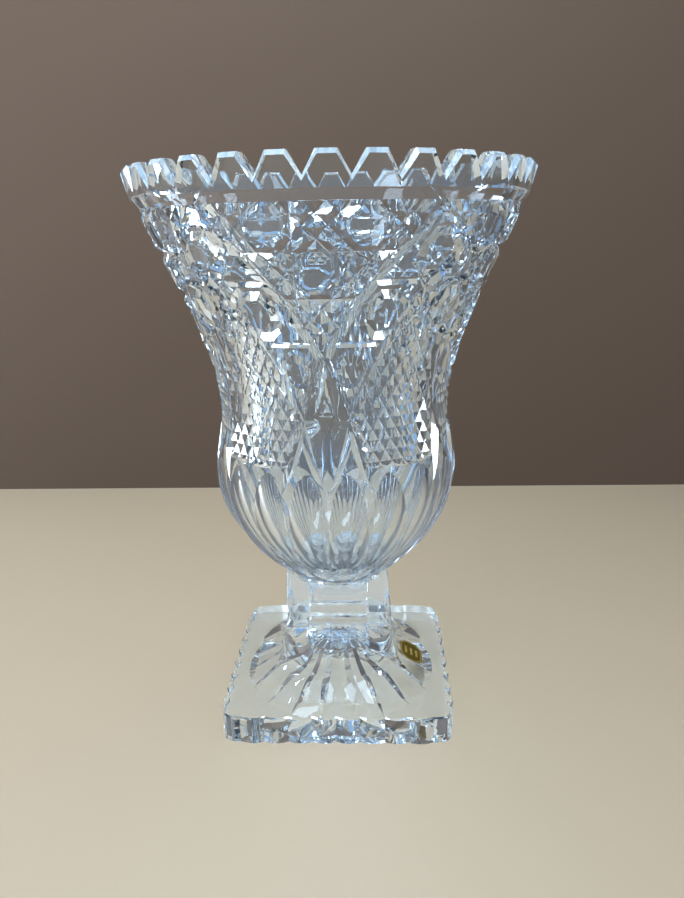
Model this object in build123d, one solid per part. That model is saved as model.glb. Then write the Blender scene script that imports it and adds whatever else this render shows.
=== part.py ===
from build123d import *
from math import cos, degrees, radians, sin, sqrt, tan
import os

# Cut crystal vase on a square foot.
# Units are millimetres, +Z is up, and the origin is the middle of the foot's underside.
# The front of the vase faces -Y, and angles round the bowl run from -Y towards +X.

# ---- driving dimensions: heights ----
total_height = 250.0
foot_edge_height = 13.4
stem_bottom = 38.0
bowl_bottom = 57.0
cavity_bottom = 72.0
joint_thickness = 0.3

# ---- driving dimensions: square foot ----
foot_side = 108.0
lobes_per_side = 8
lobe_pitch = 11.0
lobe_depth = 1.5
dome_side = 84.0
dome_corner = 24.0
slope_side = 61.2
slope_corner = 15.0
slope_height = 19.5
cove_side = 56.8
cove_corner = 13.5
cove_height = 24.4
neck_side = 53.6
neck_corner = 12.0
neck_level = 32.0
seat_side = 52.0
seat_corner = 10.5
hollow_stops = [(47.0, 0.0), (38.0, 4.4), (30.0, 9.0), (24.0, 13.0), (19.0, 19.0), (14.5, 26.0), (9.0, 30.0)]
hollow_top = 32.0
star_rays = 20
star_phase = 9.0
star_stops = [(12.0, 29.5), (24.5, 15.2), (47.0, 0.0)]

# ---- driving dimensions: cruciform stem block ----
stem_half_bottom = 25.7
stem_half_top = 24.0
arm_half_bottom = 15.0
arm_half_top = 14.1
stem_top = 70.0

# ---- driving dimensions: bowl ----
bottom_radius = 16.0
cone_radius = 33.7
cone_top = 73.4
bulge_radius = 56.3
bulge_height = 116.0
waist_radius = 52.9
waist_height = 143.6
flare_radius = 60.4
flare_height = 183.6
neck_radius = 80.6
neck_height = 229.0
neck_lean = 0.47
groove_height = 234.2
groove_radius = 80.9
band_height = 238.0
band_radius = 84.6
rim_radius = 87.6
rim_wall = 7.0
body_wall = 7.4
lip_depth = 25.0
bulge_extra_wall = 1.0
cavity_foot_radius = 29.7
cavity_foot_height = 82.4

# ---- driving dimensions: toothed rim and flutes ----
teeth = 32
tooth_phase = 2.25
tooth_depth = 7.9
notch_half_width = 4.7
flutes = 20
flute_radius = 14.0
flute_floor_radius = 80.0
flute_centre_offset = 24.8
flute_centre_height = 130.4
flute_low_angle = -56.0
flute_high_angle = 4.0
notch_overshoot = 1.25
notch_outer_margin = 5.0
notch_inner_margin = 8.0

# ---- driving dimensions: wheel cuts on the body ----
# Stops are (angle from the panel's middle, height, depth), and a negative depth is a run-out.
panels = 5
panel_phase = -1.1
mitre_half_angle = 50.0
mitre_height = 8.0
upper_stops = [(46.0, 233.0, 0.0), (23.0, 209.0, 2.2), (0.0, 177.0, 2.4)]
lower_stops = [(0.0, 177.0, 2.4), (10.75, 150.5, 2.4), (20.5, 118.5, -0.6)]
rising_stops = [(0.0, 118.5, -0.6), (10.75, 150.5, 2.4), (28.8, 191.0, 2.2), (45.0, 217.0, 0.0)]
cane_half_width = 9.0
cane_depth = 1.8
cane_heights = (231.0, 210.0, 190.0)
cane_top_row = [(0.0, 216.3, 1.8), (15.0, 216.3, 1.8), (28.0, 216.3, 0.0)]
cane_low_row = [(0.0, 199.4, 1.8), (16.0, 199.4, 0.4)]

# ---- driving dimensions: foil label ----
label_length = 12.6
label_width = 17.0
label_chamfer = 3.0
label_thickness = 0.1
label_centre_y = -2.2


def polar(angle, radius, height):
    """Point at an angle from -Y towards +X."""
    return Vector(radius * sin(radians(angle)), -radius * cos(radians(angle)), height)


# ---- bowl ----
def outer_outline():
    """Outer outline of the bowl, with x as radius and y as height."""
    base = Line((0, bowl_bottom), (bottom_radius, bowl_bottom))
    cone = Line(base @ 1, (cone_radius, cone_top))
    body = Spline(
        cone @ 1,
        (bulge_radius, bulge_height),
        (waist_radius, waist_height),
        (flare_radius, flare_height),
        (neck_radius, neck_height),
        tangents=(cone % 1, (neck_lean, 1)),
    )
    shoulder = Polyline(body @ 1, (groove_radius, groove_height), (band_radius, band_height))
    band = Line(shoulder @ 1, (rim_radius, total_height))
    return base + cone + body + shoulder + band


def inner_outline():
    """Outline of the smooth cavity, from the rim down to the axis."""
    lip_bottom = (neck_radius - body_wall, total_height - lip_depth)
    lip = Line((rim_radius - rim_wall, total_height), lip_bottom)
    wall = Spline(
        lip @ 1,
        (flare_radius - body_wall, flare_height),
        (waist_radius - body_wall, waist_height),
        (bulge_radius - body_wall - bulge_extra_wall, bulge_height),
        (cavity_foot_radius, cavity_foot_height),
        (0, cavity_bottom),
        tangents=(lip % 1, (-1, 0)),
    )
    return lip + wall


def bowl_blank():
    """Turned bowl with its cavity, before any cutting."""
    top = Line((rim_radius, total_height), (rim_radius - rim_wall, total_height))
    axis = Line((0, cavity_bottom), (0, bowl_bottom))
    profile = make_face(Plane.XZ * (outer_outline() + top + inner_outline() + axis))
    return revolve(profile, Axis.Z)


def body_radius(height):
    """Outer radius of the uncut bowl at a height."""
    level = Axis((0, height, 0), (1, 0, 0))
    crossings = []
    for edge in outer_outline().edges():
        crossings += edge.find_intersection_points(level)
    return max(point.X for point in crossings)


def on_body(angle, height, depth):
    """Point a given depth under the bowl's outer surface."""
    return polar(angle, body_radius(height) - depth, height)


def mitre(start, end, outward):
    """V-shaped wheel cut whose deepest line runs straight from start to end."""
    run = end - start
    half_width = mitre_height * tan(radians(mitre_half_angle))
    plane = Plane(origin=start, x_dir=run.cross(outward), z_dir=run)
    side = 1 if plane.y_dir.dot(outward) > 0 else -1
    outline = Polyline(
        (0, 0),
        (half_width, side * mitre_height),
        (-half_width, side * mitre_height),
        close=True,
    )
    return extrude(plane * make_face(outline), run.length)


def body_mitre(stops, mirror):
    """Chain of wheel cuts through (angle, height, depth) stops of one panel."""
    cuts = []
    for first, last in zip(stops, stops[1:]):
        start = on_body(mirror * first[0], first[1], first[2])
        end = on_body(mirror * last[0], last[1], last[2])
        outward = polar(mirror * (first[0] + last[0]) / 2, 1, 0)
        cuts.append(mitre(start, end, outward))
    return cuts


def panel_cuts():
    """Crossing wheel cuts of the panel at angle 0."""
    cuts = []
    for mirror in (1, -1):
        for stops in (upper_stops, lower_stops, rising_stops):
            cuts += body_mitre(stops, mirror)
    return cuts


def rim_notch():
    """Radial V notch between two teeth of the rim."""
    valley = total_height - tooth_depth
    outline = Polyline(
        (0, valley),
        (notch_half_width * notch_overshoot, valley + tooth_depth * notch_overshoot),
        (-notch_half_width * notch_overshoot, valley + tooth_depth * notch_overshoot),
        close=True,
    )
    reach = rim_radius + notch_outer_margin
    start = rim_radius - rim_wall - notch_inner_margin
    return Pos(0, -start, 0) * extrude(Plane.XZ * make_face(outline), reach - start)


def flute():
    """Hollow flute cut up the lower bowl by a round-edged wheel."""
    centre = Vector(0, flute_centre_offset, flute_centre_height)
    reach = flute_floor_radius + flute_radius
    low = radians(flute_low_angle)
    arm = Vector(0, -reach * cos(low), reach * sin(low))
    along = Vector(0, reach * sin(low), reach * cos(low))
    disc = Plane(origin=centre + arm, x_dir=(1, 0, 0), z_dir=along) * Circle(flute_radius)
    pivot = Axis(centre, (-1, 0, 0))
    return revolve(disc, pivot, revolution_arc=flute_high_angle - flute_low_angle)


def around(cutter, count, phase):
    """Copies of a cutter spread evenly round the vertical axis."""
    return [Rot(0, 0, phase + 360.0 * index / count) * cutter for index in range(count)]


def cane_cuts():
    """Straight grooves that divide the top of the panel into squares."""
    upright = []
    for height in cane_heights:
        upright.append((degrees(cane_half_width / body_radius(height)), height, cane_depth))
    cuts = []
    for mirror in (1, -1):
        for stops in (cane_top_row, cane_low_row, upright):
            cuts += body_mitre(stops, mirror)
    return cuts


def cut_bowl():
    """Flared bowl with its toothed rim, flutes and crossing wheel cuts."""
    cutters = around(rim_notch(), teeth, tooth_phase + 180.0 / teeth)
    cutters += around(flute(), flutes, panel_phase + 180.0 / flutes)
    for cut in panel_cuts() + cane_cuts():
        cutters += around(cut, panels, panel_phase)
    return bowl_blank() - cutters


# ---- stem block ----
def cross_section(half_span, arm_half, height):
    """Cruciform outline as a face at a height."""
    corner = [(half_span, arm_half), (arm_half, arm_half), (arm_half, half_span)]
    points = []
    for quarter in range(4):
        turned = [Vector(x, y).rotate(Axis.Z, 90 * quarter) for x, y in corner]
        points += turned
    return Pos(0, 0, height) * make_face(Polyline(*points, close=True))


def stem_block(bowl, bowl_bond):
    """Solid cruciform block, hollowed on top to the shape of the bowl."""
    bottom = cross_section(stem_half_bottom, arm_half_bottom, stem_bottom)
    top = cross_section(stem_half_top, arm_half_top, stem_top)
    return loft([bottom, top], ruled=True) - bowl - bowl_bond


# ---- bonds ----
def bowl_bond():
    """Clear adhesive film under the bowl's ground bottom."""
    film = Cylinder(bottom_radius, joint_thickness, align=(Align.CENTER, Align.CENTER, Align.MAX))
    return Pos(0, 0, bowl_bottom) * film


def foot_bond():
    """Clear adhesive film between the stem block and the foot's seat."""
    outline = cross_section(stem_half_bottom, arm_half_bottom, stem_bottom - joint_thickness)
    return extrude(outline, joint_thickness)


# ---- square foot ----
def lobed_plate():
    """Thick square plate whose edge is a row of rounded lobes."""
    valley = foot_side / 2 - lobe_depth
    straight = lobe_pitch * lobes_per_side / 2
    sides = []
    for quarter in range(4):
        turn = Rot(0, 0, 90 * quarter)
        for index in range(lobes_per_side):
            left = -straight + lobe_pitch * index
            peak = (left + lobe_pitch / 2, -foot_side / 2)
            lobe = ThreePointArc((left, -valley), peak, (left + lobe_pitch, -valley))
            sides.append(turn * lobe)
        bulge = straight + (foot_side / 2 - straight) / sqrt(2)
        corner = ThreePointArc((straight, -valley), (bulge, -bulge), (valley, -straight))
        sides.append(turn * corner)
    outline = make_face(Wire(sides))
    return extrude(outline, foot_edge_height)


def dome():
    """Low square dome that sweeps up in a cove to the seat of the stem block."""
    levels = [
        (dome_side, dome_corner, foot_edge_height),
        (slope_side, slope_corner, slope_height),
        (cove_side, cove_corner, cove_height),
        (neck_side, neck_corner, neck_level),
        (seat_side, seat_corner, stem_bottom - joint_thickness),
    ]
    sections = [Pos(0, 0, z) * RectangleRounded(side, side, radius) for side, radius, z in levels]
    return loft(sections, ruled=True)


def hollow():
    """Round hollow in the underside that follows the dome above it."""
    outline = Polyline((0, 0), *hollow_stops, (0, hollow_top), close=True)
    return revolve(Plane.XZ * make_face(outline), Axis.Z)


def star_ray():
    """One V ray of the star cut in the hollow, towards the front."""
    cuts = []
    for near, far in zip(star_stops, star_stops[1:]):
        start = Vector(0, -near[0], near[1])
        end = Vector(0, -far[0], far[1])
        cuts.append(mitre(start, end, Vector(0, 0, -1)))
    return cuts


def square_foot():
    """Square foot with its lobed edge, its dome and the star cut underneath."""
    rays = []
    for cut in star_ray():
        rays += around(cut, star_rays, star_phase)
    return lobed_plate() + dome() - hollow() - rays


# ---- foil label ----
def foil_label():
    """Thin foil label on the right slope of the foot."""
    rise = slope_height - foot_edge_height
    run = (dome_side - slope_side) / 2
    middle = Vector((dome_side + slope_side) / 4, label_centre_y, foot_edge_height + rise / 2)
    slope = Plane(origin=middle, x_dir=(run, 0, -rise), z_dir=(rise, 0, run))
    outline = chamfer(Rectangle(label_length, label_width).vertices(), label_chamfer)
    return extrude(slope * outline, label_thickness)


def export_parts():
    """Write one STEP file for each piece."""
    os.makedirs("parts", exist_ok=True)
    bowl = cut_bowl()
    bond = bowl_bond()
    pieces = {
        "cut_bowl": bowl,
        "bowl_bond": bond,
        "stem_block": stem_block(bowl, bond),
        "foot_bond": foot_bond(),
        "square_foot": square_foot(),
        "foil_label": foil_label(),
    }
    for name, piece in pieces.items():
        export_step(piece, f"parts/{name}.step")


export_parts()
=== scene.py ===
from math import cos, pi, radians, sin, sqrt, tan

import bpy
import numpy as np
from mathutils import Matrix, Vector


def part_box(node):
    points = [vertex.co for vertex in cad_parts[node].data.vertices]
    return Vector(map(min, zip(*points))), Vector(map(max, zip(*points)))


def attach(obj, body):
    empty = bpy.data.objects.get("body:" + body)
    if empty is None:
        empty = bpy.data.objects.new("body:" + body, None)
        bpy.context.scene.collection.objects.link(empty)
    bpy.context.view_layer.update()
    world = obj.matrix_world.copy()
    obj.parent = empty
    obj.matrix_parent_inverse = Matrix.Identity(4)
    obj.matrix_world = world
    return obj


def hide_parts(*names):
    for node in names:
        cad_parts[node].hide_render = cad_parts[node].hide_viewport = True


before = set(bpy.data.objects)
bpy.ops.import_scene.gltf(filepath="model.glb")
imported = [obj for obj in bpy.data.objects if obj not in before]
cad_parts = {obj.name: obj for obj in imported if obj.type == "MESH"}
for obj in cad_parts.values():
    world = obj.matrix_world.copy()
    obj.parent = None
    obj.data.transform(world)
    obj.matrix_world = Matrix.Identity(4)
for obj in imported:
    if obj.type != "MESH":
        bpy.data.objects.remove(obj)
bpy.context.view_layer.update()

# Cut crystal vase on a square foot. Lengths below are millimetres until a mesh is made.
# Angles run from the front, -Y, towards +X, and z is the height over the floor.
MM = 0.001

# ---- overall shape ----
TOTAL_HEIGHT = 250.0
BOWL_BOTTOM = 57.0
CAVITY_BOTTOM = 72.0
BOTTOM_RADIUS = 16.0
CONE = (33.7, 73.4)
BODY_STOPS = [CONE, (56.3, 116.0), (52.9, 143.6), (60.4, 183.6), (80.6, 229.0)]
GROOVE = (80.9, 234.2)
BAND = (84.6, 238.0)
NECK_LEAN = 0.47
RIM_RADIUS = 87.6
RIM_WALL = 7.0
LIP_FOOT = (73.2, 225.0)
LIP_MIDDLE_Z = 237.5
CAVITY_STOPS = [LIP_FOOT, (53.0, 183.6), (45.5, 143.6), (47.9, 116.0), (29.7, 82.4), (0.0, CAVITY_BOTTOM)]
RIM_BEVEL = 1.8
NOTCH_BEVEL = 1.4
LIP_BEVEL = 0.8
BAND_SHARES = (0.33, 0.67, 1.0)
COLUMNS = 288

# ---- toothed rim and flutes ----
TEETH = 32
TOOTH_PHASE = 2.25
TOOTH_DEPTH = 7.9
NOTCH_HALF = 4.7
NOTCH_OVERSHOOT = 3.0
NOTCH_MARGINS = (8.0, 6.0)
BEVEL_REACH = 2.0
FLUTES = 20
FLUTE_RADIUS = 14.0
FLUTE_FLOOR = 80.0
FLUTE_OFFSET = 24.8
FLUTE_CENTRE_Z = 130.4
FLUTE_ANGLES = (-56.0, 4.0)
FLUTE_CUTTING_ARC = (125, 235)
FLUTE_FREE_ARC = (235, 485)

# ---- cut pattern, one panel, as (angle from the panel's middle, height, depth) ----
PANELS = 5
PANEL_PHASE = -1.1
PANEL_ANGLE = 360.0 / PANELS
LINE_ONE = [
    (46.0, 240.0, -0.3),
    (40.6, 234.5, 1.7),
    (35.0, 229.0, 2.2),
    (25.0, 220.0, 2.2),
    (13.9, 202.0, 2.2),
    (0.0, 177.0, 2.4),
    (-6.9, 160.0, 2.8),
    (-10.75, 150.5, 2.9),
    (-14.3, 139.0, 2.6),
    (-17.3, 128.0, 1.6),
    (-20.5, 118.5, -0.3),
]
LINE_TWO = [
    (0.0, 118.5, -0.3),
    (3.3, 128.0, 1.6),
    (6.9, 139.0, 2.6),
    (10.75, 150.5, 2.9),
    (19.0, 169.0, 2.4),
    (24.0, 181.0, 2.3),
    (32.0, 197.0, 2.2),
    (36.0, 203.5, 2.2),
    (42.3, 214.0, 1.9),
    (47.5, 222.0, 0.0),
]
MITRE_ANGLE = 51.0
CROSSING = (10.75, 150.5)
KITE_UPPER = 66.0
KITE_LOWER = 69.0
KITE_INNER = 8.0
KITE_TOP = (3.5, 183.0, 2.4)
KITE_SIDE_LOW = (-12.8, 144.5, 2.9)
KITE_SIDE_HIGH = (14.0, 158.0, 2.9)
KITE_Z = (119.5, 176.5)
MOAT_ANGLE = 52.0
MOAT_LIFT = 0.8
# Buttons of the side strips: angle, height, radius, groove depth, sides and stretch in height.
BUTTONS = [(22.8, 194.5, 8.6, 2.1, 8, 1.0), (10.6, 171.0, 5.0, 1.5, 16, 1.45)]
SHARED_BUTTON = (216.8, 8.4, 2.1)
# Cross grooves of the side strips: first angle, last angle, height, depth and steps.
CROSS_GROOVES = [(4.0, 20.0, 182.6, 0.9, 12), (16.4, 31.0, 206.4, 1.2, 10)]
SQUARE_HALF = 9.0
SQUARE_DEPTH = 2.3
SQUARE_ANGLE = 54.0
SQUARE_ENDS = (-5.6, 1.25)
SQUARE_ROW_REACH = 4.6
SQUARE_FIELD_Z = (177.3, 234.2)
SQUARE_LEVELS = ((-5.6, -5.0, -3.0, -1.0, 1.0, 1.3), (177.5, 182.7, 199.4, 216.3, 234.2, 237.0))
DIAMOND_ANGLE = 6.0
DIAMOND_HEIGHT = 8.87
DIAMOND_Z = 155.5
DIAMOND_VEE = 55.0
DIAMOND_LINES = 14
DIAMOND_LINE_Z = (124.0, 206.0)
DIAMOND_FIELD_LOW = (131.0, 133.0)
DIAMOND_FIELD_Z = (137.0, 203.0)
DIAMOND_LOW_DROP = 0.45

# ---- stem block ----
BOND_BOTTOM = 56.7
STEM_BOTTOM = 38.0
STEM_TOP = (24.0, 14.1)
STEM_BEVEL = 0.5
SOCKET_SKIN_Z = (45.0, 72.0)
SOCKET_SKIN_THICKNESS = 4.0
CONE_TRIM = 0.5
SEAT_TOOL_TOP = (50.0, 90.0)
STEM_LEVELS = [
    (38.0, 25.7, 15.0),
    (39.0, 25.4, 14.8),
    (41.0, 24.0, 14.2),
    (45.0, 23.6, 13.9),
    (49.5, 25.0, 14.6),
    (70.0, 24.0, 14.1),
]

# ---- square foot ----
FOOT_HALF = 54.0
LOBES = 8
LOBE_PITCH = 11.0
LOBE_DEPTH = 1.5
LOBE_STEPS = 7
CORNER_SWELL = 9.8
EDGE_HEIGHT = 13.4
FOOT_BEVEL = 0.6
SEAT_HEIGHT = 37.7
DOME_LEVELS = [
    (42.0, 24.0, 13.4),
    (36.2, 19.0, 16.5),
    (31.6, 15.6, 18.95),
    (30.0, 14.6, 20.2),
    (28.9, 13.9, 22.2),
    (28.0, 13.2, 25.2),
    (27.2, 12.5, 29.0),
    (26.5, 11.6, 33.2),
    (26.0, 10.5, 37.7),
]
HOLLOW = [
    (0.0, 32.0),
    (9.0, 30.0),
    (14.5, 26.0),
    (19.0, 19.0),
    (24.0, 13.0),
    (30.0, 9.0),
    (38.0, 4.4),
    (47.0, 0.0),
]
STAR_RAYS = 20
STAR_PHASE = 9.0
STAR_INNER = 5.0
STAR_OUTER = 48.0
STAR_DEPTH = 2.6
STAR_ANGLE = 54.0
STAR_RISE = 4.2
STAR_OVERRUN = (1.5, 1.0)

# ---- foil label ----
LABEL_LENGTH = 12.6
LABEL_WIDTH = 17.0
LABEL_CHAMFER = 3.0
LABEL_FIELD_INSET = 0.15
LABEL_BORDER_INSETS = (0.6, 1.15)
LABEL_FIELD = (-0.04, 0.02)
LABEL_RELIEF = (0.0, 0.05)
LABEL_BARS = 3
LABEL_BAR_PITCH = 3.0
LABEL_BAR_HALF = (0.7, 3.2)

# ---- material slots of a glass piece ----
CONTACT = 1
# Slot for the bevelled rim and notch faces, whose material paints in the reflected window light as a
# bluish white.
BEVEL_SHEEN_SLOT = 2
CONTACT_GAP = 0.12
FLAT_MARGIN = 0.01
RIM_OUTWARD = 0.3

# ---- studio, in metres ----
FLOOR_COLOUR = (0.26, 0.185, 0.12)
WALL_COLOUR = (0.085, 0.05, 0.03)
STAGE_HALF_WIDTH = 1.6
FLOOR_FRONT = -1.2
FLOOR_BACK = 1.6
FLOOR_LEVEL = -0.0002
WALL_Y = 0.304
WALL_HEIGHT = 1.0
WORLD_COLOUR = (0.44, 0.68, 1.0, 1)
WORLD_STRENGTH = 0.52
CAMERA_PLACE = (0.01737, -0.34284, 0.22396)
CAMERA_HEADING = -2.41
CAMERA_PITCH = 16.19
CAMERA_ROLL = -1.18
CAMERA_LENS = 30.0
CAMERA_SENSOR = 36.0
# Each soft lamp: name, place, height aimed at on the axis, size and power in watts.
SOFTBOXES = [
    ("window_left", (-0.8, -0.75, 0.8), 0.13, (0.5, 0.6), 22.0),
    ("window_right", (0.7, -0.9, 0.6), 0.13, (0.25, 0.5), 10.0),
    ("top", (-0.05, 0.05, 0.95), 0.15, (0.5, 0.2), 10.0),
    ("side", (-0.95, 0.05, 0.3), 0.14, (0.15, 0.5), 6.0),
]
WINDOW_LIGHT = (0.66, 0.83, 1.0)
CRYSTAL_TINT = (0.93, 0.972, 1.0, 1.0)
# Bluish white of the bevel faces: a painted reflection of the window light.
BEVEL_SHEEN_TINT = (0.86, 0.94, 1.0, 1.0)


# ---- mesh making ----
def place(points):
    """Millimetres to metres, as plain tuples."""
    return [tuple(point) for point in np.asarray(points, float) * MM]


def loop_faces(count, first, second, closed=True):
    """Quads between two rings of vertices that start at two indices."""
    steps = range(count if closed else count - 1)
    return [(first + i, first + (i + 1) % count, second + (i + 1) % count, second + i) for i in steps]


def ring_mesh(name, rings):
    """Closed mesh through rings of equal length; a ring of one point is a pole."""
    points = []
    faces = []
    starts = []
    for ring in rings:
        starts.append(len(points))
        points += list(ring)
    for below, above, low, high in zip(starts, starts[1:], rings, rings[1:]):
        if len(low) == 1:
            faces += [(below, above + (i + 1) % len(high), above + i) for i in range(len(high))]
        elif len(high) == 1:
            faces += [(below + i, below + (i + 1) % len(low), above) for i in range(len(low))]
        else:
            faces += loop_faces(len(low), below, above)
    if len(rings[0]) > 1:
        faces.append(tuple(starts[0] + i for i in reversed(range(len(rings[0])))))
    if len(rings[-1]) > 1:
        faces.append(tuple(starts[-1] + i for i in range(len(rings[-1]))))
    mesh = bpy.data.meshes.new(name)
    mesh.from_pydata(place(points), [], faces)
    mesh.validate()
    return mesh


def make_object(name, mesh, materials=()):
    piece = bpy.data.objects.new(name, mesh)
    bpy.context.scene.collection.objects.link(piece)
    for material in materials:
        mesh.materials.append(material)
    return piece


def joined(meshes, name, angles):
    """One mesh of several meshes, each repeated at angles round the vertical axis."""
    points = []
    faces = []
    for mesh in meshes:
        local = np.array([vertex.co for vertex in mesh.vertices])
        polygons = [tuple(polygon.vertices) for polygon in mesh.polygons]
        for turn in angles:
            base = len(points)
            c, s = cos(radians(turn)), sin(radians(turn))
            points += list(local @ np.array([[c, s, 0], [-s, c, 0], [0, 0, 1]]))
            faces += [tuple(base + i for i in polygon) for polygon in polygons]
    merged = bpy.data.meshes.new(name)
    merged.from_pydata([tuple(point) for point in points], [], faces)
    return merged


def turns(count, phase):
    return [phase + 360.0 * index / count for index in range(count)]


def boolean(piece, tool_mesh, operation="DIFFERENCE"):
    """Applies one boolean with a throwaway tool."""
    tool = make_object("tool", tool_mesh)
    modifier = piece.modifiers.new("cut", "BOOLEAN")
    modifier.solver = "MANIFOLD"
    modifier.operation = operation
    modifier.object = tool
    result = bpy.data.meshes.new_from_object(
        piece.evaluated_get(bpy.context.evaluated_depsgraph_get())
    )
    piece.modifiers.clear()
    old = piece.data
    piece.data = result
    bpy.data.meshes.remove(old)
    bpy.data.objects.remove(tool)
    bpy.data.meshes.remove(tool_mesh)


def shade(piece, angle=22.0):
    """Smooth faces with sharp edges where they meet at more than an angle."""
    piece.data.shade_smooth()
    piece.data.set_sharp_from_angle(angle=radians(angle))


# ---- curves ----
def smooth_curve(stops, samples, start=None, end=None):
    """Smooth curve through stops of any dimension, with its end directions given or free."""
    stops = np.array(stops, float)
    chord = np.linalg.norm(np.diff(stops[:, :2], axis=0), axis=1)
    t = np.concatenate(([0.0], np.cumsum(chord)))
    count = len(stops)
    matrix = np.zeros((count, count))
    right = np.zeros_like(stops)
    for i in range(1, count - 1):
        before, after = chord[i - 1], chord[i]
        matrix[i, i - 1:i + 2] = after, 2 * (before + after), before
        right[i] = 3 * (
            after * (stops[i] - stops[i - 1]) / before + before * (stops[i + 1] - stops[i]) / after
        )
    matrix[0, 0] = matrix[-1, -1] = 1
    right[0] = (stops[1] - stops[0]) / chord[0] if start is None else start
    right[-1] = (stops[-1] - stops[-2]) / chord[-1] if end is None else end
    slopes = np.linalg.solve(matrix, right)
    out = []
    for value in np.linspace(0, t[-1], samples):
        i = min(int(np.searchsorted(t, value, side="right")) - 1, count - 2)
        h = chord[i]
        x = (value - t[i]) / h
        out.append(
            (1 + 2 * x) * (1 - x) ** 2 * stops[i]
            + x * (1 - x) ** 2 * h * slopes[i]
            + x * x * (3 - 2 * x) * stops[i + 1]
            + x * x * (x - 1) * h * slopes[i + 1]
        )
    return np.array(out)


def unit(vector):
    vector = np.array(vector, float)
    return vector / np.linalg.norm(vector)


CONE_SLOPE = unit((CONE[0] - BOTTOM_RADIUS, CONE[1] - BOWL_BOTTOM))
NECK_SLOPE = unit((NECK_LEAN, 1.0))
BODY = smooth_curve(BODY_STOPS, 120, CONE_SLOPE, NECK_SLOPE)
OUTLINE = np.vstack([BODY, GROOVE, BAND, (RIM_RADIUS, TOTAL_HEIGHT)])
ENVELOPE = np.vstack([BODY, BAND, (RIM_RADIUS, TOTAL_HEIGHT)])


def radius_at(z, outline=OUTLINE):
    return float(np.interp(z, outline[:, 1], outline[:, 0]))


def on_body(angle, z, lift, outline=OUTLINE):
    """Point on the bowl's surface, raised along the surface's normal."""
    radius = radius_at(z, outline)
    slope = (radius_at(z + 0.8, outline) - radius_at(z - 0.8, outline)) / 1.6
    across, up = unit((1.0, -slope))
    reach = radius + lift * across
    turn = radians(angle)
    return np.array([reach * sin(turn), -reach * cos(turn), z + lift * up])


def polar(angle, radius, z):
    turn = radians(angle)
    return np.array([radius * sin(turn), -radius * cos(turn), z])


# ---- wheel cuts ----
def vee(bottoms, outs, rise=5.0, left=MITRE_ANGLE, right=MITRE_ANGLE):
    """Long V-shaped tool whose sharp edge runs through bottoms and that opens along outs."""
    rings = []
    bottoms = np.array(bottoms)
    along = np.gradient(bottoms, axis=0)
    for point, out, run in zip(bottoms, outs, along):
        side = unit(np.cross(run, out))
        rings.append(
            [
                point,
                point + out * rise - side * rise * tan(radians(left)),
                point + out * rise + side * rise * tan(radians(right)),
            ]
        )
    return ring_mesh("vee", rings)


def body_vee(path, outline=OUTLINE, mirror=1, **opening):
    """Wheel cut along (angle, height, depth) points on the bowl."""
    bottoms = []
    outs = []
    for angle, z, depth in path:
        bottoms.append(on_body(mirror * angle, z, -depth, outline))
        outs.append(unit(on_body(mirror * angle, z, 1, outline) - on_body(mirror * angle, z, 0, outline)))
    if mirror < 0:
        left, right = opening.get("left", MITRE_ANGLE), opening.get("right", MITRE_ANGLE)
        opening = {"left": right, "right": left}
    return vee(bottoms, outs, **opening)


def bowl_rings():
    """Rings of the turned bowl, from the middle of its bottom out, up, over the rim and in."""
    inner_top = RIM_RADIUS - RIM_WALL
    outer = [(BOTTOM_RADIUS, BOWL_BOTTOM)]
    for share in np.linspace(0, 1, 8)[1:-1]:
        outer.append(
            (
                BOTTOM_RADIUS + share * (CONE[0] - BOTTOM_RADIUS),
                BOWL_BOTTOM + share * (CONE[1] - BOWL_BOTTOM),
            )
        )
    outer += [tuple(point) for point in BODY]
    outer += [GROOVE, BAND]
    bevel_z = TOTAL_HEIGHT - RIM_BEVEL
    for share in BAND_SHARES:
        z = BAND[1] + share * (bevel_z - BAND[1])
        outer.append((radius_at(z), z))
    outer += [(RIM_RADIUS - RIM_BEVEL, TOTAL_HEIGHT), (inner_top + LIP_BEVEL, TOTAL_HEIGHT)]
    lip_slope = unit((LIP_FOOT[0] - inner_top, LIP_FOOT[1] - TOTAL_HEIGHT))
    wall = smooth_curve(CAVITY_STOPS, 90, lip_slope, (-1.0, 0.0))
    lip_middle = (0.5 * (inner_top + LIP_FOOT[0]), LIP_MIDDLE_Z)
    inner = [(inner_top, TOTAL_HEIGHT - LIP_BEVEL), lip_middle]
    inner += [tuple(point) for point in wall[:-1]]
    rings = [[(0.0, 0.0, BOWL_BOTTOM)]]
    angles = np.linspace(0, 360, COLUMNS, endpoint=False)
    for radius, z in outer + inner:
        rings.append([polar(angle, radius, z) for angle in angles])
    rings.append([(0.0, 0.0, CAVITY_BOTTOM)])
    return rings


def arc_angle(distance, z):
    """Angle that a distance round the bowl covers at a height."""
    return distance / radius_at(z) * 180.0 / pi


def rim_notch(bevel=False):
    """Radial V tool between two teeth; with bevel it slopes the notch's outer edges."""
    valley = TOTAL_HEIGHT - TOOTH_DEPTH
    half = NOTCH_HALF / TOOTH_DEPTH
    over = NOTCH_OVERSHOOT
    rings = []
    if bevel:
        offset = (RIM_BEVEL + BEVEL_REACH) * NOTCH_BEVEL / RIM_BEVEL
        steps = [(-RIM_BEVEL, 0.0), (BEVEL_REACH, offset)]
    else:
        steps = [(-RIM_WALL - NOTCH_MARGINS[0], 0.0), (NOTCH_MARGINS[1], 0.0)]
    for reach, offset in steps:
        drop = offset * sqrt(1 + 1 / half ** 2)
        low = radius_at(valley) + reach
        high = RIM_RADIUS + reach
        top = TOTAL_HEIGHT + over
        wide = half * (TOOTH_DEPTH + over + drop)
        rings.append([(0, -low, valley - drop), (wide, -high, top), (-wide, -high, top)])
    return ring_mesh("notch", rings)


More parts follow.
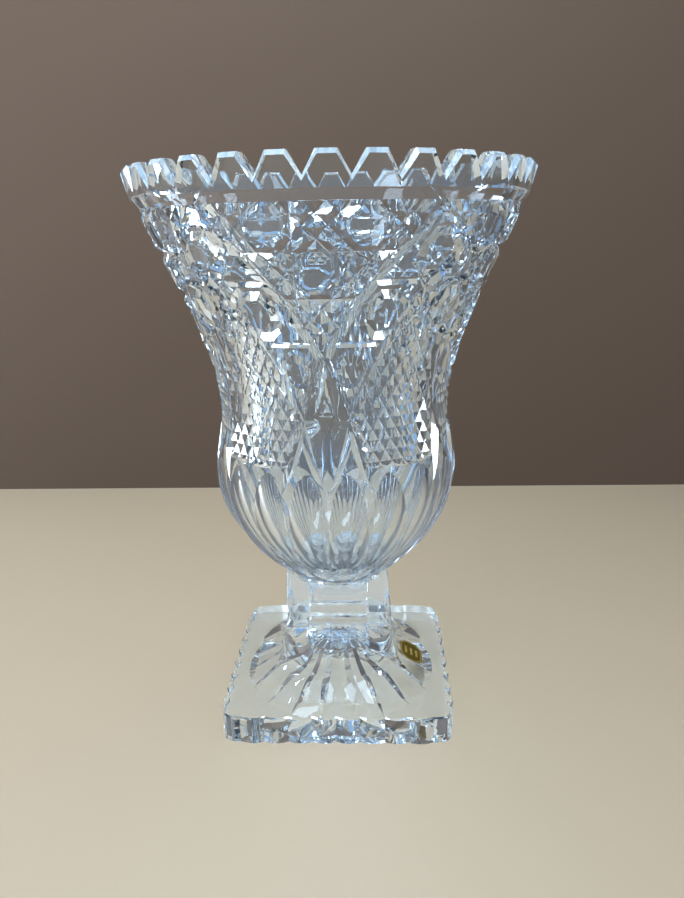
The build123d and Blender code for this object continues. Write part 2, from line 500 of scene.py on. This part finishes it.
def flute():
    """Hollow left by a round-edged wheel at the front of the lower bowl."""
    cutting = np.linspace(*FLUTE_CUTTING_ARC, 23)
    free = np.linspace(*FLUTE_FREE_ARC, 9)[1:-1]
    sweep = np.radians(np.concatenate((cutting, free)))
    rings = []
    for angle in np.radians(np.linspace(*FLUTE_ANGLES, 56)):
        arm = np.array([0, -cos(angle), sin(angle)])
        centre = np.array([0, FLUTE_OFFSET, FLUTE_CENTRE_Z]) + arm * (FLUTE_FLOOR + FLUTE_RADIUS)
        rings.append(
            [centre + FLUTE_RADIUS * (arm * cos(t) + np.array([1, 0, 0]) * sin(t)) for t in sweep]
        )
    return ring_mesh("flute", rings)


def region(levels, columns=14, inside=6.0, outside=9.0):
    """Thick patch round the bowl, from (height, left angle, right angle, outer drop) levels."""
    rings = []
    for z, left, right, drop in levels:
        radius = radius_at(z, ENVELOPE)
        sweep = np.linspace(left, right, columns)
        outer = [polar(angle, radius + outside, z - drop * outside) for angle in sweep]
        inner = [polar(angle, radius - inside, z + drop * inside) for angle in sweep[::-1]]
        rings.append(outer + inner)
    return ring_mesh("region", rings)


def union(meshes):
    """One solid of several overlapping tools."""
    piece = make_object("union", meshes[0])
    for mesh in meshes[1:]:
        boolean(piece, mesh, "UNION")
    return piece


def taken(piece):
    """The mesh of a throwaway object."""
    mesh = piece.data
    bpy.data.objects.remove(piece)
    return mesh


def angle_on(line, z):
    """Angle of a cut line at a height."""
    stops = sorted((stop[1], stop[0]) for stop in line)
    return float(np.interp(z, [stop[0] for stop in stops], [stop[1] for stop in stops]))


# The squares of the top field in units of half a square: x round the bowl, y up from row one.
def square_point(x, y, depth):
    z = float(np.interp(y, SQUARE_LEVELS[0], SQUARE_LEVELS[1]))
    return arc_angle(x * SQUARE_HALF, z), z, depth


def square_line(first, last, steps=24):
    stops = [np.array(first) + (np.array(last) - np.array(first)) * t for t in np.linspace(0, 1, steps)]
    path = [square_point(x, y, SQUARE_DEPTH) for x, y in stops]
    return body_vee(path, rise=SQUARE_DEPTH + 0.6, left=SQUARE_ANGLE, right=SQUARE_ANGLE)


def square_tools():
    """Grooves that divide the top of a panel into squares, octagons and small pyramids."""
    low, high = SQUARE_ENDS
    tools = [square_line((x, high), (x, low)) for x in (-3, -1, 1, 3)]
    tools += [square_line((-SQUARE_ROW_REACH, y), (SQUARE_ROW_REACH, y)) for y in (-1, -3)]
    for middle in (-8, -4, 0, 4):
        for pair in (-0.5, 0.5):
            total = middle + pair
            tools.append(square_line((total - high, high), (total - low, low)))
            tools.append(square_line((high - total, high), (low - total, low)))
    grooves = union(tools)
    levels = []
    for z in np.linspace(*SQUARE_FIELD_Z, 30):
        half = min(angle_on(LINE_ONE, z), PANEL_ANGLE / 2 + 0.05)
        levels.append((z, -half, half, 0.0))
    boolean(grooves, region(levels, 24), "INTERSECT")
    return taken(grooves)


def diamond_line(start, lean):
    """One groove of the fine diamond field, from its foot upwards, leaning left or right."""
    path = []
    for z in np.linspace(*DIAMOND_LINE_Z, 42):
        spacing = radians(DIAMOND_ANGLE) * radius_at(z)
        width = 1 / sqrt(1 / spacing ** 2 + 1 / DIAMOND_HEIGHT ** 2)
        depth = 0.5 * width / tan(radians(DIAMOND_VEE))
        angle = start + lean * DIAMOND_ANGLE * (z - DIAMOND_Z) / DIAMOND_HEIGHT
        path.append((angle, z, depth))
    return body_vee(path, rise=2.6, left=DIAMOND_VEE, right=DIAMOND_VEE)


def diamond_tools():
    """Crossing grooves of the fine diamond field between two panels, clipped to the field."""
    tools = []
    for lean in (1, -1):
        for index in range(-DIAMOND_LINES, DIAMOND_LINES):
            tools.append(diamond_line(PANEL_ANGLE / 2 + DIAMOND_ANGLE * (index + 0.5), lean))
    grooves = union(tools)
    middle = PANEL_ANGLE / 2
    levels = []
    for z in list(DIAMOND_FIELD_LOW) + list(np.linspace(*DIAMOND_FIELD_Z, 36)):
        edge = angle_on(LINE_TWO, z) if z > CROSSING[1] else -angle_on(LINE_ONE, z)
        half = max(middle - edge, 0.2)
        drop = DIAMOND_LOW_DROP if z in DIAMOND_FIELD_LOW else 0.0
        levels.append((z, middle - half, middle + half, drop))
    boolean(grooves, region(levels, 20), "INTERSECT")
    return taken(grooves)


def kite_tools():
    """Broad facets inside the kite between the crossing mitres."""
    tools = []
    upper = [stop for stop in LINE_ONE if CROSSING[1] - 1 < stop[1] < 180]
    lower = [stop for stop in LINE_TWO if stop[1] < CROSSING[1] + 1]
    for mirror in (1, -1):
        path = smooth_curve([KITE_TOP] + upper + [KITE_SIDE_LOW], 16)
        tools.append(body_vee(path, ENVELOPE, mirror, rise=3.4, left=KITE_UPPER, right=KITE_INNER))
        path = smooth_curve(lower + [KITE_SIDE_HIGH], 16)
        tools.append(body_vee(path, ENVELOPE, mirror, rise=3.4, left=KITE_LOWER, right=KITE_INNER))
    facets = union(tools)
    levels = []
    for z in np.linspace(*KITE_Z, 40):
        half = angle_on(LINE_TWO, z) if z < CROSSING[1] else -angle_on(LINE_ONE, z)
        levels.append((z, -half, half, 0.0))
    boolean(facets, region(levels, 8), "INTERSECT")
    return taken(facets)


def moat(angle, z, radius, depth, sides=8, stretch=1.0):
    """V groove round a button, as a closed ring with straight sides."""
    slope = (radius_at(z + 2) - radius_at(z - 2)) / 4
    up = 1 / sqrt(1 + slope ** 2)
    steps = 4
    corners = []
    for index in range(sides):
        turn = 2 * pi * (index + 0.5) / sides
        corners.append(np.array([cos(turn), sin(turn)]) / cos(pi / sides))
    ring = []
    for first, last in zip(corners, corners[1:] + corners[:1]):
        ring += [first + (last - first) * t for t in np.linspace(0, 1, steps, endpoint=False)]
    half = (depth + MOAT_LIFT) * tan(radians(MOAT_ANGLE))
    points = []
    for spot in ring:
        for reach, lift in ((radius, -depth), (radius + half, MOAT_LIFT), (radius - half, MOAT_LIFT)):
            x, y = spot * reach
            height = z + y * up * stretch
            points.append(on_body(angle + arc_angle(x, height), height, lift))
    count = len(ring)
    faces = []
    for i in range(count):
        j = (i + 1) % count
        for a in range(3):
            b = (a + 1) % 3
            faces.append((3 * i + a, 3 * j + a, 3 * j + b, 3 * i + b))
    mesh = bpy.data.meshes.new("moat")
    mesh.from_pydata(place(points), [], faces)
    return mesh


def side_tools():
    """Buttons and cross grooves in the strips between the two mitres of a panel."""
    groups = []
    for mirror in (1, -1):
        for angle, *button in BUTTONS:
            groups.append([moat(mirror * angle, *button)])
        for first, last, z, depth, steps in CROSS_GROOVES:
            path = [(angle, z, depth) for angle in np.linspace(first, last, steps)]
            groups.append([body_vee(path, OUTLINE, mirror, rise=3.0)])
    groups.append([moat(PANEL_ANGLE / 2, *SHARED_BUTTON)])
    return groups


def outward(polygon):
    """How far a face's normal points away from the axis."""
    return polygon.normal.dot(Vector((polygon.center.x, polygon.center.y, 0)).normalized())


def cut_bowl(materials):
    """The bowl with its teeth, flutes and cut pattern."""
    piece = make_object("crystal_bowl", ring_mesh("crystal_bowl", bowl_rings()), materials)
    panel_turns = turns(PANELS, PANEL_PHASE)
    for line in (LINE_ONE, LINE_TWO):
        for mirror in (1, -1):
            tool = body_vee(smooth_curve(line, 70), ENVELOPE, mirror)
            boolean(piece, joined([tool], "tool", panel_turns))
    for group in side_tools() + [[kite_tools()], [diamond_tools()]]:
        boolean(piece, joined(group, "tool", panel_turns))
    squares = square_tools()
    for turn in panel_turns:
        boolean(piece, joined([squares], "tool", [turn]))
    for index in range(FLUTES // PANELS):
        phase = PANEL_PHASE + (index + 0.5) * 360.0 / FLUTES
        boolean(piece, joined([flute()], "tool", turns(PANELS, phase)))
    # Notches between the teeth; their bevel faces get the material with the painted reflection.
    for index in range(2):
        phase = TOOTH_PHASE + (index + 0.5) * 360.0 / TEETH
        for bevel in (False, True):
            tool = joined([rim_notch(bevel)], "tool", turns(TEETH // 2, phase))
            boolean(piece, marked(tool, BEVEL_SHEEN_SLOT if bevel else 0))
    boolean(piece, socket_skin())
    # The flat underside is a contact face; the outward top of the rim gets the bevel material with its
    # painted reflection.
    for polygon in piece.data.polygons:
        if polygon.center.z < (BOWL_BOTTOM + FLAT_MARGIN) * MM:
            polygon.material_index = CONTACT
        if polygon.center.z > (TOTAL_HEIGHT - RIM_BEVEL) * MM and outward(polygon) > RIM_OUTWARD:
            polygon.material_index = BEVEL_SHEEN_SLOT
    shade(piece)
    return piece


# ---- stem block ----
def cross_ring(z, half_span, arm_half):
    """Cruciform ring with every outer corner bevelled."""
    bevel = STEM_BEVEL
    quarter = [
        (half_span, -arm_half + bevel),
        (half_span, arm_half - bevel),
        (half_span - bevel, arm_half),
        (arm_half, arm_half),
        (arm_half, half_span - bevel),
        (arm_half - bevel, half_span),
    ]
    ring = []
    for turn in range(4):
        c, s = cos(turn * pi / 2), sin(turn * pi / 2)
        ring += [(c * x - s * y, s * x + c * y, z) for x, y in quarter]
    return ring


def marked(mesh, index):
    """The mesh with all its faces given to one material slot."""
    for polygon in mesh.polygons:
        polygon.material_index = index
    return mesh


def cone_solid(gap, thickness):
    """Part of the bowl's cone as a thick ring, its upper face a gap inside the cone."""
    slope = (CONE[0] - BOTTOM_RADIUS) / (CONE[1] - BOWL_BOTTOM)
    angles = np.linspace(0, 360, COLUMNS, endpoint=False)
    corners = []
    for z in (BOWL_BOTTOM - CONE_TRIM, CONE[1] - CONE_TRIM):
        corners.append((BOTTOM_RADIUS + slope * (z - BOWL_BOTTOM), z))
    outline = [
        (corners[0][0], corners[0][1] - thickness),
        (corners[1][0], corners[1][1] - thickness),
        (corners[1][0], corners[1][1] + gap),
        (corners[0][0], corners[0][1] + gap),
    ]
    points = []
    faces = []
    for radius, z in outline:
        points += [polar(angle, radius, z) for angle in angles]
    for i in range(4):
        faces += loop_faces(COLUMNS, i * COLUMNS, (i + 1) % 4 * COLUMNS)
    mesh = bpy.data.meshes.new("cone")
    mesh.from_pydata(place(points), [], faces)
    return mesh


def socket_skin():
    """Very thin tool that marks where the bowl's cone sits in the stem block."""
    rings = [cross_ring(z, *STEM_TOP) for z in SOCKET_SKIN_Z]
    piece = make_object("skin", ring_mesh("skin", rings))
    boolean(piece, cone_solid(CONTACT_GAP, SOCKET_SKIN_THICKNESS), "INTERSECT")
    return marked(taken(piece), CONTACT)


def stem_block(materials):
    """Cruciform block under the bowl, with its waist and its flared lower edge."""
    rings = [cross_ring(*level) for level in STEM_LEVELS]
    piece = make_object("crystal_stem", ring_mesh("crystal_stem", rings), materials)
    seat = [[(0, 0, BOND_BOTTOM)]]
    angles = np.linspace(0, 360, COLUMNS, endpoint=False)
    for radius, z in ((BOTTOM_RADIUS, BOND_BOTTOM), (BOTTOM_RADIUS, BOWL_BOTTOM), CONE, SEAT_TOOL_TOP):
        seat.append([polar(angle, radius, z) for angle in angles])
    seat.append([(0, 0, SEAT_TOOL_TOP[1])])
    boolean(piece, marked(ring_mesh("seat", seat), CONTACT))
    for polygon in piece.data.polygons:
        if polygon.center.z < (STEM_BOTTOM + FLAT_MARGIN) * MM:
            polygon.material_index = CONTACT
    shade(piece, 12)
    return piece


# ---- square foot ----
def lobed_ring(z, inset=0.0):
    """Plan outline of the foot's edge: a row of rounded lobes on each side."""
    straight = LOBE_PITCH * LOBES / 2
    bulge = (FOOT_HALF - LOBE_DEPTH - straight) / sqrt(2)
    quarter = []
    for index in range(LOBES):
        for step in range(LOBE_STEPS):
            share = step / LOBE_STEPS
            swell = LOBE_DEPTH * (1 - (2 * share - 1) ** 2)
            along = -straight + LOBE_PITCH * (index + share)
            quarter.append((along, -(FOOT_HALF - LOBE_DEPTH + swell)))
    middle = FOOT_HALF - LOBE_DEPTH - straight
    for step in range(LOBE_STEPS):
        share = step / LOBE_STEPS
        swell = (CORNER_SWELL - bulge) * (1 - (2 * share - 1) ** 2) / sqrt(2)
        along = straight + middle * share + swell
        quarter.append((along, -(FOOT_HALF - LOBE_DEPTH) + middle * share - swell))
    ring = []
    for turn in range(4):
        c, s = cos(turn * pi / 2), sin(turn * pi / 2)
        for x, y in quarter:
            shrink = 1 - inset / FOOT_HALF
            ring.append(((c * x - s * y) * shrink, (s * x + c * y) * shrink, z))
    return ring


def rounded_square(ring, z, half, corner):
    """Rounded square with one point in the direction of each point of a ring."""
    out = []
    core = half - corner
    for x, y, _ in ring:
        a, b = sorted((abs(x), abs(y)))
        reach = half / b
        if a * reach > core:
            length = a * a + b * b
            dot = core * (a + b)
            reach = (dot + sqrt(dot * dot - length * (2 * core * core - corner * corner))) / length
        out.append((x * reach, y * reach, z))
    return out


def hollow_height(radius):
    """Height of the underside's hollow, which follows the dome above it."""
    return float(np.interp(radius, *zip(*HOLLOW)))


def foot_blank():
    """Rings of the foot, from the middle of its underside out, up and in to the seat."""
    edge = lobed_ring(FOOT_BEVEL)
    rings = [[(0, 0, HOLLOW[0][1])]]
    for radius, z in HOLLOW[1:]:
        rings.append(rounded_square(edge, z, radius, radius * 0.98))
    rings.append(lobed_ring(0, FOOT_BEVEL))
    rings.append(edge)
    rings.append(lobed_ring(EDGE_HEIGHT - FOOT_BEVEL))
    rings.append(lobed_ring(EDGE_HEIGHT, FOOT_BEVEL))
    for half, corner, z in DOME_LEVELS:
        rings.append(rounded_square(edge, z, half, corner))
    rings.append([(0, 0, SEAT_HEIGHT)])
    return ring_mesh("crystal_foot", rings)


def star_ray():
    """One spindle-shaped V ray of the star cut in the underside."""
    radii = np.linspace(STAR_INNER - STAR_OVERRUN[0], STAR_OUTER + STAR_OVERRUN[1], 40)
    middle = (STAR_INNER + STAR_OUTER) / 2
    half = (STAR_OUTER - STAR_INNER) / 2
    bottoms = []
    for radius in radii:
        depth = STAR_DEPTH * (1 - ((radius - middle) / half) ** 2)
        bottoms.append((0, -radius, hollow_height(radius) + depth))
    outs = [np.array([0, 0, -1.0])] * len(bottoms)
    return vee(bottoms, outs, STAR_RISE, STAR_ANGLE, STAR_ANGLE)


def square_foot(materials):
    """Square foot with its lobed edge, its dome and the star cut underneath."""
    piece = make_object("crystal_foot", foot_blank(), materials)
    for index in range(2):
        phase = STAR_PHASE + index * 360.0 / STAR_RAYS
        boolean(piece, joined([star_ray()], "tool", turns(STAR_RAYS // 2, phase)))
    low = SEAT_HEIGHT - CONTACT_GAP
    skin = ring_mesh("skin", [cross_ring(z, *STEM_LEVELS[0][1:]) for z in (low, low + 2)])
    boolean(piece, marked(skin, CONTACT))
    shade(piece, 16)
    return piece


# ---- foil label ----
def label_outline(inset):
    """Octagon of the label, pulled in by an inset, as (down the slope, along the slope)."""
    a, b, c = LABEL_LENGTH / 2 - inset, LABEL_WIDTH / 2 - inset, LABEL_CHAMFER - inset * 0.4
    right = [(a, b - c), (a - c, b), (c - a, b), (-a, b - c)]
    left = [(-a, c - b), (c - a, -b), (a - c, -b), (a, c - b)]
    return right + left


def foil_label(materials):
    """Foil octagon on the right slope of the foot, with a raised border and plain bars."""
    low, high = [np.array(corner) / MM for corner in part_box("foil_label")]
    down = unit((high[0] - low[0], 0, low[2] - high[2]))
    out = np.array([-down[2], 0, down[0]])
    middle = (low + high) / 2

    def spot(u, v, lift):
        return middle + down * u + np.array([0, v, 0]) + out * lift

    def pad(outline, bottom, top):
        rings = [[spot(u, v, lift) for u, v in outline] for lift in (bottom, top)]
        return ring_mesh("pad", rings)

    field = pad(label_outline(LABEL_FIELD_INSET), *LABEL_FIELD)
    outer, inner = [label_outline(inset) for inset in LABEL_BORDER_INSETS]
    count = len(outer)
    points = [spot(u, v, lift) for ring in (outer, inner) for lift in LABEL_RELIEF for u, v in ring]
    faces = loop_faces(count, 0, count) + loop_faces(count, count, 3 * count)
    faces += loop_faces(count, 3 * count, 2 * count) + loop_faces(count, 2 * count, 0)
    border = bpy.data.meshes.new("border")
    border.from_pydata(place(points), [], faces)
    bars = []
    for index in range(LABEL_BARS):
        u = (index - (LABEL_BARS - 1) / 2) * LABEL_BAR_PITCH
        a, b = LABEL_BAR_HALF
        outline = [(u - a, -b), (u + a, -b), (u + a, b), (u - a, b)]
        bars.append(pad(outline, *LABEL_RELIEF))
    mesh = joined([field, border] + bars, "gold_label", [0])
    piece = make_object("gold_label", mesh, materials)
    for polygon in mesh.polygons[len(field.polygons):]:
        polygon.material_index = 1
    return piece


# ---- materials ----
def new_material(name):
    """Material with an empty node tree, that tree, and its output node."""
    material = bpy.data.materials.new(name)
    material.use_nodes = True
    tree = material.node_tree
    tree.nodes.clear()
    output = tree.nodes.new("ShaderNodeOutputMaterial")
    return material, tree, output


def noise(tree, scale, detail=3.0, roughness=0.5):
    """Noise in object space."""
    coordinates = tree.nodes.new("ShaderNodeTexCoord")
    texture = tree.nodes.new("ShaderNodeTexNoise")
    texture.inputs["Scale"].default_value = scale
    texture.inputs["Detail"].default_value = detail
    texture.inputs["Roughness"].default_value = roughness
    tree.links.new(coordinates.outputs["Object"], texture.inputs["Vector"])
    return texture


def ranged(tree, source, low, high):
    """Maps the middle part of a noise, 0.3 to 0.7, to a range."""
    node = tree.nodes.new("ShaderNodeMapRange")
    node.inputs["From Min"].default_value = 0.3
    node.inputs["From Max"].default_value = 0.7
    node.inputs["To Min"].default_value = low
    node.inputs["To Max"].default_value = high
    tree.links.new(source, node.inputs["Value"])
    return node.outputs["Result"]


def bump(tree, source, strength, distance):
    node = tree.nodes.new("ShaderNodeBump")
    node.inputs["Strength"].default_value = strength
    node.inputs["Distance"].default_value = distance
    tree.links.new(source, node.inputs["Height"])
    return node.outputs["Normal"]


def crystal(name, tint, smooth, scratched, clarity):
    """Lead crystal: faint waviness from the polishing and a little haze on the surface."""
    material, tree, output = new_material(name)
    shader = tree.nodes.new("ShaderNodeBsdfPrincipled")
    shader.inputs["Base Color"].default_value = tint
    shader.inputs["Transmission Weight"].default_value = clarity
    shader.inputs["IOR"].default_value = 1.545
    haze = noise(tree, 90.0, 5.0)
    tree.links.new(ranged(tree, haze.outputs["Fac"], smooth, scratched), shader.inputs["Roughness"])
    wave = noise(tree, 140.0, 1.0)
    tree.links.new(bump(tree, wave.outputs["Fac"], 0.12, 0.0004), shader.inputs["Normal"])
    through = tree.nodes.new("ShaderNodeBsdfTransparent")
    through.inputs["Color"].default_value = (0.97, 0.98, 0.985, 1)
    path = tree.nodes.new("ShaderNodeLightPath")
    mix = tree.nodes.new("ShaderNodeMixShader")
    tree.links.new(path.outputs["Is Shadow Ray"], mix.inputs["Fac"])
    tree.links.new(shader.outputs["BSDF"], mix.inputs[1])
    tree.links.new(through.outputs["BSDF"], mix.inputs[2])
    tree.links.new(mix.outputs["Shader"], output.inputs["Surface"])
    return material


def clear_contact(name, haze_weight):
    """Optical contact between two crystal pieces: light goes straight on, past a trace of haze."""
    material, tree, output = new_material(name)
    through = tree.nodes.new("ShaderNodeBsdfTransparent")
    through.inputs["Color"].default_value = (0.985, 0.99, 0.995, 1)
    haze = tree.nodes.new("ShaderNodeBsdfTranslucent")
    haze.inputs["Color"].default_value = (0.9, 0.93, 0.95, 1)
    cloud = noise(tree, 260.0, 4.0)
    mix = tree.nodes.new("ShaderNodeMixShader")
    tree.links.new(ranged(tree, cloud.outputs["Fac"], 0.0, haze_weight), mix.inputs["Fac"])
    tree.links.new(through.outputs["BSDF"], mix.inputs[1])
    tree.links.new(haze.outputs["BSDF"], mix.inputs[2])
    tree.links.new(mix.outputs["Shader"], output.inputs["Surface"])
    return material


def foil(name, dark, light, roughness):
    """Satin metal foil with a fine hammered grain."""
    material, tree, output = new_material(name)
    shader = tree.nodes.new("ShaderNodeBsdfPrincipled")
    shader.inputs["Metallic"].default_value = 0.85
    grain = noise(tree, 1400.0, 4.0)
    ramp = tree.nodes.new("ShaderNodeValToRGB")
    ramp.color_ramp.elements[0].position = 0.35
    ramp.color_ramp.elements[0].color = dark
    ramp.color_ramp.elements[1].position = 0.65
    ramp.color_ramp.elements[1].color = light
    tree.links.new(grain.outputs["Fac"], ramp.inputs["Fac"])
    tree.links.new(ramp.outputs["Color"], shader.inputs["Base Color"])
    rough = ranged(tree, grain.outputs["Fac"], roughness, roughness + 0.2)
    tree.links.new(rough, shader.inputs["Roughness"])
    tree.links.new(bump(tree, grain.outputs["Fac"], 0.3, 0.0001), shader.inputs["Normal"])
    tree.links.new(shader.outputs["BSDF"], output.inputs["Surface"])
    return material


# ---- studio ----
def make_camera():
    """Camera at the photograph's height and angle."""
    heading, pitch, roll = radians(CAMERA_HEADING), radians(CAMERA_PITCH), radians(CAMERA_ROLL)
    forward = Vector((sin(heading) * cos(pitch), cos(heading) * cos(pitch), -sin(pitch)))
    right = Vector((cos(heading), -sin(heading), 0))
    up = right.cross(forward)
    level = Matrix((right, up, -forward)).transposed()
    data = bpy.data.cameras.new("camera")
    data.lens = CAMERA_LENS
    data.sensor_width = CAMERA_SENSOR
    data.clip_start = 0.01
    camera = bpy.data.objects.new("camera", data)
    camera.matrix_world = (
        Matrix.Translation(CAMERA_PLACE)
        @ (level @ Matrix.Rotation(roll, 3, "Z")).to_4x4()
    )
    bpy.context.scene.collection.objects.link(camera)
    bpy.context.scene.camera = camera


def plain_surface(name, colour, roughness):
    """Matte painted surface with a barely visible mottle, clear when seen from behind."""
    material, tree, output = new_material(name)
    shader = tree.nodes.new("ShaderNodeBsdfPrincipled")
    shader.inputs["Roughness"].default_value = roughness
    mottle = noise(tree, 9.0, 6.0)
    ramp = tree.nodes.new("ShaderNodeValToRGB")
    ramp.color_ramp.elements[0].color = [channel * 0.97 for channel in colour] + [1]
    ramp.color_ramp.elements[1].color = list(colour) + [1]
    tree.links.new(mottle.outputs["Fac"], ramp.inputs["Fac"])
    tree.links.new(ramp.outputs["Color"], shader.inputs["Base Color"])
    geometry = tree.nodes.new("ShaderNodeNewGeometry")
    through = tree.nodes.new("ShaderNodeBsdfTransparent")
    mix = tree.nodes.new("ShaderNodeMixShader")
    tree.links.new(geometry.outputs["Backfacing"], mix.inputs["Fac"])
    tree.links.new(shader.outputs["BSDF"], mix.inputs[1])
    tree.links.new(through.outputs["BSDF"], mix.inputs[2])
    tree.links.new(mix.outputs["Shader"], output.inputs["Surface"])
    return material


def stage_plane(name, corners, material):
    mesh = bpy.data.meshes.new(name)
    mesh.from_pydata(corners, [], [(0, 1, 2, 3)])
    piece = make_object(name, mesh, [material])


def softbox(name, place_at, target, size, power, colour):
    """Large soft lamp aimed at a point."""
    data = bpy.data.lights.new(name, "AREA")
    data.shape = "RECTANGLE"
    data.size = size[0]
    data.size_y = size[1]
    data.energy = power
    data.color = colour
    lamp = bpy.data.objects.new(name, data)
    lamp.location = place_at
    aim = Vector(target) - Vector(place_at)
    lamp.rotation_euler = aim.to_track_quat("-Z", "Y").to_euler()
    bpy.context.scene.collection.objects.link(lamp)


def build_stage():
    """Pale floor, plain wall behind it and soft lamps."""
    floor = plain_surface("pale_floor", FLOOR_COLOUR, 0.6)
    left, right = -STAGE_HALF_WIDTH, STAGE_HALF_WIDTH
    sides = ((left, FLOOR_FRONT), (right, FLOOR_FRONT), (right, FLOOR_BACK), (left, FLOOR_BACK))
    stage_plane("floor", [(x, y, FLOOR_LEVEL) for x, y in sides], floor)
    wall = plain_surface("plain_wall", WALL_COLOUR, 0.9)
    sides = ((left, 0), (right, 0), (right, WALL_HEIGHT), (left, WALL_HEIGHT))
    stage_plane("wall", [(x, WALL_Y, z) for x, z in sides], wall)
    for name, place_at, aim_height, size, power in SOFTBOXES:
        softbox(name, place_at, (0, 0, aim_height), size, power, WINDOW_LIGHT)
    world = bpy.data.worlds.new("studio")
    world.use_nodes = True
    background = world.node_tree.nodes["Background"]
    background.inputs["Color"].default_value = WORLD_COLOUR
    background.inputs["Strength"].default_value = WORLD_STRENGTH
    bpy.context.scene.world = world


def light_paths():
    """Enough bounces for light to leave the crystal, and no fireflies."""
    cycles = bpy.context.scene.cycles
    cycles.max_bounces = 18
    cycles.transmission_bounces = 18
    cycles.glossy_bounces = 8
    cycles.diffuse_bounces = 2
    cycles.transparent_max_bounces = 32
    cycles.sample_clamp_indirect = 4.0
    cycles.adaptive_threshold = 0.04
    cycles.caustics_reflective = False
    cycles.caustics_refractive = False
    view = bpy.context.scene.view_settings
    view.view_transform = "Standard"
    view.look = "High Contrast"


make_camera()
build_stage()
light_paths()

contact = clear_contact("crystal_contact", 0.004)
# Bevel faces: rougher, and partly diffuse in a bluish white that paints in the reflected window light.
edge = crystal("bevel_painted_sheen", BEVEL_SHEEN_TINT, 0.06, 0.14, 0.85)
bowl = cut_bowl([crystal("bowl_crystal_polished", CRYSTAL_TINT, 0.0, 0.015, 0.993), contact, edge])
stem = stem_block([crystal("stem_crystal_polished", CRYSTAL_TINT, 0.0, 0.03, 0.94), contact])
foot = square_foot([crystal("foot_crystal_polished", CRYSTAL_TINT, 0.0, 0.015, 0.99), contact, edge])
label = foil_label(
    [
        foil("foil_field", (0.16, 0.1, 0.02, 1), (0.3, 0.2, 0.05, 1), 0.35),
        foil("foil_relief", (0.6, 0.42, 0.12, 1), (0.85, 0.66, 0.26, 1), 0.25),
    ]
)
for piece, node, slot in (
    (bowl, "cut_bowl", "bowl_crystal"),
    (stem, "stem_block", "stem_crystal"),
    (foot, "square_foot", "foot_crystal"),
    (label, "foil_label", "gold_foil"),
):
    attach(piece, "root")
    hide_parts(node)
film = clear_contact("bond_film", 0.012)
for node in ("bowl_bond", "foot_bond"):
    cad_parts[node].data.materials.clear()
    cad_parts[node].data.materials.append(film)
